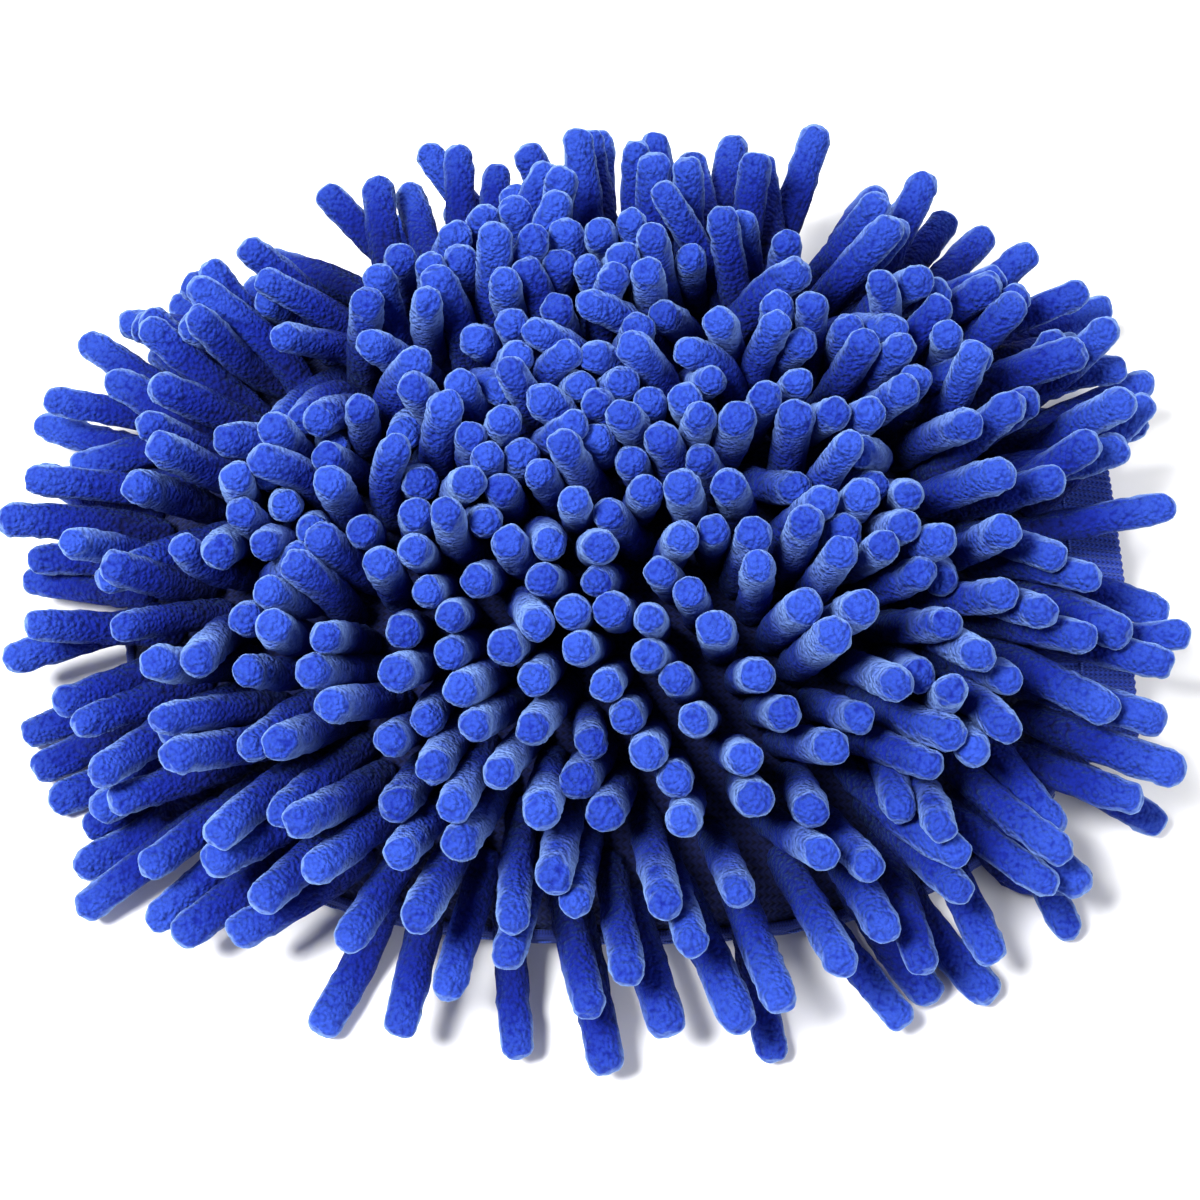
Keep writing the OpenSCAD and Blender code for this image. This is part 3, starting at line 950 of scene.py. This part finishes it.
def build_back_mesh():
    """The back: a warp-knit mesh with real holes and a closed border."""
    low, high = node_box("back_panel")
    bm = cut_panel("back_panel", 4.2 * MM, above=False)
    obj = add_object("back_mesh", bm, material=mesh_cloth(), replaces=("back_panel",))
    rim = [v.index for v in obj.data.vertices
           if outline_share(v.co.x, v.co.y, -low.x, high.y) > 0.93 or v.co.x > high.x - 8 * MM]
    relax_cloth(obj, cap=1.3 * MM, pinned=rim, pressure=-0.6, growth=0.05, lowest=0.02 * MM)
    bm = bmesh.new()
    bm.from_mesh(obj.data)
    holes = []
    for face in bm.faces:
        middle = face.calc_center_median()
        if (outline_share(middle.x, middle.y, -low.x, high.y) < 0.955
                and middle.x < high.x - 5 * MM and len(face.verts) == 4):
            holes.append(face)
    bmesh.ops.inset_individual(bm, faces=holes, thickness=0.95 * MM, use_even_offset=True)
    bmesh.ops.delete(bm, geom=holes, context="FACES_ONLY")
    bm.to_mesh(obj.data)
    bm.free()
    for poly in obj.data.polygons:
        poly.use_smooth = True
    wall(obj, 0.8 * MM)
    subdivide(obj, 1)


class MITT_OT_body(bpy.types.Operator):
    """Makes the knit top, sponge, linings and mesh back"""
    bl_idname = "mitt.body"
    bl_label = "Pocket and back"

    def execute(self, context):
        build_pocket_top()
        build_sponge()
        front = build_lining("front_lining", "front_lining_cloth", True)
        back = build_lining("back_lining", "back_lining_cloth", False)
        build_back_mesh()
        return {"FINISHED"}


# --- edge binding -----------------------------------------------------------------

def binding_line(count):
    """Even points round the seam, from one wrist corner to the other, and their outward side."""
    low, high = node_box("back_panel")
    half_l, half_w, end = -low.x, high.y, high.x
    start = math.acos((end / half_l) ** (OUTLINE_POWER / 2))
    angles = np.linspace(start, 2 * math.pi - start, 1600)
    c, s = np.cos(angles), np.sin(angles)
    power = 2 / OUTLINE_POWER
    points = np.stack([half_l * np.sign(c) * np.abs(c) ** power,
                       half_w * np.sign(s) * np.abs(s) ** power], 1)
    steps = np.linalg.norm(np.diff(points, axis=0), axis=1)
    run = np.concatenate([[0], np.cumsum(steps)])
    wanted = np.linspace(0, run[-1], count)
    line = np.stack([np.interp(wanted, run, points[:, k]) for k in (0, 1)], 1)
    tangent = unit(np.gradient(line, axis=0))
    return line, np.stack([tangent[:, 1], -tangent[:, 0]], 1), wanted


def build_binding():
    """A folded tape round the seam, pulled in a little at each stitch."""
    low, high = node_box("edge_binding")
    line, out, run = binding_line(300)
    profile = [(-0.7, 0.02), (0.3, 0.0), (0.95, 0.10), (1.2, 0.24), (1.15, 0.40), (0.95, 0.5),
               (1.15, 0.60), (1.2, 0.76), (0.95, 0.90), (0.3, 1.0), (-0.7, 0.98), (-0.5, 0.5)]
    rows = []
    for place, side, far in zip(line, out, run):
        pucker = 0.14 * math.cos(2 * math.pi * far / (6 * MM))
        sway = 0.2 * noise.noise(Vector((far / (30 * MM), 0, 0)))
        row = []
        for reach, level in profile:
            push = (reach + (pucker if reach > 0.9 else 0)) * MM
            z = low.z + (high.z - low.z) * level + sway * MM
            row.append(Vector((place[0] + side[0] * push, place[1] + side[1] * push, z)))
        rows.append(row)
    bm = wrap_grid(rows)
    along, across = run_layers(bm)
    for v in bm.verts:
        flat = np.linalg.norm(line - np.array(v.co[:2]), axis=1)
        v[along] = run[int(flat.argmin())]
        v[across] = v.co.z
    bmesh.ops.holes_fill(bm, edges=[e for e in bm.edges if e.is_boundary], sides=0)
    bmesh.ops.recalc_face_normals(bm, faces=bm.faces)
    binding = tape("binding tape", (0.016, 0.030, 0.21), (0.006, 0.011, 0.08))
    obj = add_object("binding_tape", bm, material=binding, replaces=("edge_binding",))
    subdivide(obj, 1)


def thread_template():
    """A short plump thread along X, one unit long and one unit thick."""
    outline = [(x, 0, r) for x, r in ((-0.5, 0), (-0.47, 0.30), (-0.33, 0.48), (0, 0.52),
                                      (0.33, 0.48), (0.47, 0.30), (0.5, 0))]
    return spin_template("thread_template", outline, (1, 0, 0), 6)


def build_threads(node, under, name, material):
    """Sewn threads in place of a node's plain stitches, their ends going into the cloth."""
    thick = 0.66 * MM
    template = thread_template()
    tree = node_tree(under)
    source = merged_copy(node)
    found = islands(source)
    source.free()
    random = rng(5)
    bm = bmesh.new()
    along = bm.verts.layers.float.new("along")
    for points in found:
        middle = points.mean(0)
        rel = points - middle
        axis = Vector(np.linalg.svd(rel, full_matrices=False)[2][0])
        run = rel @ np.array(axis)
        length = run.max() - run.min()
        normal = tree.find_nearest(Vector(middle))[1]
        up = (normal - axis * normal.dot(axis)).normalized()
        if up.dot(normal) < 0:
            up = -up
        side = up.cross(axis)
        before = len(bm.verts)
        bm.from_mesh(template)
        bm.verts.ensure_lookup_table()
        twist = random.uniform(-0.06, 0.06)
        for v in bm.verts[before:]:
            t = v.co.x
            v[along] = t * length
            v.co = (Vector(middle) + axis * t * length * 1.03
                    + side * (v.co.y * thick + twist * t * length)
                    + up * (v.co.z * thick * 0.8 - 0.9 * MM * t * t + 0.08 * MM))
    obj = add_object(name, bm, material=material, replaces=(node,))
    subdivide(obj, 1)
    bpy.data.meshes.remove(template)


class MITT_OT_binding(bpy.types.Operator):
    """Makes the binding tape and every sewn stitch"""
    bl_idname = "mitt.binding"
    bl_label = "Binding and stitches"

    def execute(self, context):
        build_binding()
        blue = tape("blue thread", (0.05, 0.11, 0.50), (0.015, 0.03, 0.20), roughness=0.45)
        build_threads("binding_stitches", "edge_binding", "binding_threads", blue)
        build_threads("hem_stitches", "cuff", "hem_threads", blue)
        build_threads("loop_bar_tacks", "cuff", "loop_tack_threads", blue)
        build_threads("label_tacks", "cuff", "label_tack_threads", blue)
        return {"FINISHED"}


# --- cuff -----------------------------------------------------------------------

def evenly(start, end, steps):
    return [start + (end - start) * k / steps for k in range(steps + 1)]


def build_rib():
    """The rib knit, turned in over the hem at the wrist."""
    low, high = node_box("cuff")
    turn_r, ribs = 1.1 * MM, 96
    straight = [(x, 0.0) for x in evenly(low.x, high.x - turn_r, 16)]
    fold = [(high.x - turn_r + math.sin(a) * turn_r, (1 - math.cos(a)) * 1.15 * MM)
            for a in np.radians((30, 60, 90, 120, 150, 180))]
    bm = cuff_cloth(straight + fold, ribs * 5, rib=0.55 * MM, ribs=ribs, fade_from=0.75)
    obj = add_object("rib_cuff", bm, material=rib_cloth(), replaces=("cuff",))
    wall(obj, 0.75 * MM)


def build_elastic():
    low, high = node_box("cuff_elastic")
    bm = cuff_cloth([(x, 1.55 * MM) for x in evenly(low.x, high.x, 4)], 160)
    webbing = tape("elastic webbing", (0.70, 0.71, 0.74), (0.45, 0.46, 0.50))
    obj = add_object("elastic_band", bm, material=webbing, replaces=("cuff_elastic",))
    wall(obj, 0.7 * MM)


def build_facing():
    """The tape that covers the elastic, inside the hem."""
    low, high = node_box("hem_facing")
    places = evenly(high.x - 1.3 * MM, low.x, 8)
    bm = cuff_cloth([(places[0], 2.55 * MM)] + [(x, 2.5 * MM) for x in places[1:]], 240)
    cloth = knit_cloth("facing cloth", (0.016, 0.032, 0.24), (0.006, 0.012, 0.09), 0.9 * MM)
    obj = add_object("hem_facing_tape", bm, material=cloth, replaces=("hem_facing",))
    wall(obj, 0.55 * MM)


class MITT_OT_cuff(bpy.types.Operator):
    """Makes the rib-knit cuff, its elastic and its facing"""
    bl_idname = "mitt.cuff"
    bl_label = "Cuff"

    def execute(self, context):
        build_rib()
        build_elastic()
        build_facing()
        return {"FINISHED"}


# --- hang loop and care label -------------------------------------------------------

def build_loop():
    """A flat braid bent in a U, its plait standing up from its face."""
    low, high = node_box("hang_loop")
    middle_y, half = (low.y + high.y) / 2, (high.y - low.y) / 2
    braid_w = 5 * MM
    bend = half - braid_w / 2
    leg = high.x - low.x - half
    total = 2 * leg + math.pi * bend
    steps, wide = 150, 12
    bm = bmesh.new()
    bmesh.ops.create_grid(bm, x_segments=steps, y_segments=wide, size=0.5)
    along, across = run_layers(bm)
    middle_z = (low.z + high.z) / 2
    for v in bm.verts:
        far, off = (v.co.x + 0.5) * total, v.co.y * braid_w
        if far < leg:
            place, side = Vector((high.x - far, middle_y - bend, 0)), Vector((0, -1, 0))
        elif far > total - leg:
            place, side = Vector((high.x - (total - far), middle_y + bend, 0)), Vector((0, 1, 0))
        else:
            angle = (far - leg) / bend
            side = Vector((-math.sin(angle), -math.cos(angle), 0))
            place = Vector((high.x - leg, middle_y, 0)) + side * bend
        v[along], v[across] = far, off
        plait = abs(math.sin(math.pi * (far + abs(off) * 0.9) / (1.9 * MM)))
        crown = math.cos(math.pi * v.co.y) ** 0.5 if abs(v.co.y) < 0.5 else 0.0
        edge = 0.12 * MM * math.cos(2 * math.pi * far / (1.9 * MM)) * (2 * abs(v.co.y)) ** 6
        v.co = place + side * (off + math.copysign(edge, off))
        v.co.z = middle_z + 0.16 * MM * crown + 0.2 * MM * plait * crown + 0.1 * MM
    face_up(bm)
    braid = tape("braid", (0.020, 0.045, 0.30), (0.008, 0.016, 0.11))
    obj = add_object("braid_loop", bm, body="loop", material=braid, replaces=("hang_loop",))
    wall(obj, 0.85 * MM)
    subdivide(obj, 1)


def build_label():
    """A blank woven label with a turned, slightly curled edge."""
    low, high = node_box("care_label")
    bm = bmesh.new()
    bmesh.ops.create_grid(bm, x_segments=28, y_segments=26, size=0.5)
    along, across = run_layers(bm)
    for v in bm.verts:
        u, w = v.co.x, v.co.y
        v[along], v[across] = u * (high.x - low.x), w * (high.y - low.y)
        free = max(0.0, 0.5 - u)  # 0 at the sewn edge, 1 at the free one
        curl = 0.5 * free ** 2 * (0.6 + 0.4 * math.cos(2 * math.pi * w))
        lift = 0.12 * noise.noise(Vector((u * 3, w * 3, 4.0)))
        v.co = Vector(((low.x + high.x) / 2 + v[along], (low.y + high.y) / 2 + v[across],
                       (low.z + high.z) / 2 + 0.15 * MM + (curl + lift) * MM))
    face_up(bm)
    obj = add_object("blank_label", bm, body="label", material=label_cloth(),
                     replaces=("care_label",))
    wall(obj, 0.35 * MM, offset=0)
    subdivide(obj, 1)


class MITT_OT_loop(bpy.types.Operator):
    """Makes the hang loop and the blank care label"""
    bl_idname = "mitt.loop"
    bl_label = "Loop and label"

    def execute(self, context):
        build_loop()
        build_label()
        return {"FINISHED"}


# --- stage ------------------------------------------------------------------------

def add_area(name, place, size, power, target):
    light = bpy.data.lights.new(name, "AREA")
    light.shape = "DISK"
    light.size = size
    light.energy = power
    obj = bpy.data.objects.new(name, light)
    bpy.context.scene.collection.objects.link(obj)
    obj.location = place
    obj.rotation_euler = (target - place).to_track_quat("-Z", "Y").to_euler()
    return obj


def build_stage():
    scene = bpy.context.scene
    stage = scene.mitt_stage
    low, high = CAD_BOX
    middle = (Vector(low) + Vector(high)) / 2
    target = Vector((middle.x + 0.0025, middle.y - 0.010, 0.016))
    view = Vector((math.sin(stage.azimuth) * math.cos(stage.elevation),
                   -math.cos(stage.azimuth) * math.cos(stage.elevation),
                   math.sin(stage.elevation)))
    camera = bpy.data.objects.new("camera", bpy.data.cameras.new("camera"))
    scene.collection.objects.link(camera)
    camera.location = target + view * stage.distance
    camera.rotation_euler = (-view).to_track_quat("-Z", "Y").to_euler()
    camera.data.lens = stage.lens
    camera.data.clip_start = 0.01
    scene.camera = camera
    bm = bmesh.new()
    bmesh.ops.create_grid(bm, x_segments=2, y_segments=2, size=3)
    mesh = bpy.data.meshes.new("floor")
    bm.to_mesh(mesh)
    bm.free()
    floor = bpy.data.objects.new("floor", mesh)
    scene.collection.objects.link(floor)
    material, _, shader = new_material("floor")
    shader.inputs["Base Color"].default_value = (0.93, 0.93, 0.93, 1)
    shader.inputs["Roughness"].default_value = 0.9
    mesh.materials.append(material)
    world = bpy.data.worlds.new("studio")
    world.use_nodes = True
    back = world.node_tree.nodes["Background"]
    back.inputs["Color"].default_value = (1, 1, 1, 1)
    # the backdrop is brighter to look at than it is as a light
    seen = add_node(world.node_tree, "ShaderNodeLightPath").outputs["Is Camera Ray"]
    strength = remap(world.node_tree, seen, 0, 1, 0.21, 0.85)
    world.node_tree.links.new(strength, back.inputs["Strength"])
    scene.world = world
    add_area("key", target + Vector((-0.35, -0.25, 0.85)), 0.30, 19.5, target)
    add_area("fill", target + Vector((0.7, -0.5, 0.5)), 0.7, 5, target)
    add_area("back", target + Vector((0.1, 0.8, 0.5)), 0.7, 7, target)
    scene.view_settings.view_transform = "Standard"


class MITT_OT_stage(bpy.types.Operator):
    """Makes the floor, the lights and the camera"""
    bl_idname = "mitt.stage"
    bl_label = "Stage"

    def execute(self, context):
        build_stage()
        return {"FINISHED"}


class MITT_PT_panel(bpy.types.Panel):
    """Lists the mitt's pieces"""
    bl_idname = "MITT_PT_panel"
    bl_label = "Wash Mitt"
    bl_space_type = "VIEW_3D"
    bl_region_type = "UI"
    bl_category = "Wash Mitt"

    def draw(self, context):
        for operator in PIECES:
            self.layout.operator(operator.bl_idname)


PIECES = (MITT_OT_stage, MITT_OT_body, MITT_OT_binding, MITT_OT_cuff, MITT_OT_loop,
          MITT_OT_pile)
CLASSES = (PileSettings, StageSettings, *PIECES, MITT_PT_panel)


def register():
    for cls in CLASSES:
        bpy.utils.register_class(cls)
    bpy.types.Scene.mitt_pile = bpy.props.PointerProperty(type=PileSettings)
    bpy.types.Scene.mitt_stage = bpy.props.PointerProperty(type=StageSettings)


def unregister():
    del bpy.types.Scene.mitt_stage
    del bpy.types.Scene.mitt_pile
    for cls in reversed(CLASSES):
        bpy.utils.unregister_class(cls)


def main():
    register()
    for operator in PIECES:
        group, name = operator.bl_idname.split(".")
        getattr(getattr(bpy.ops, group), name)()


if __name__ == "__main__":
    main()
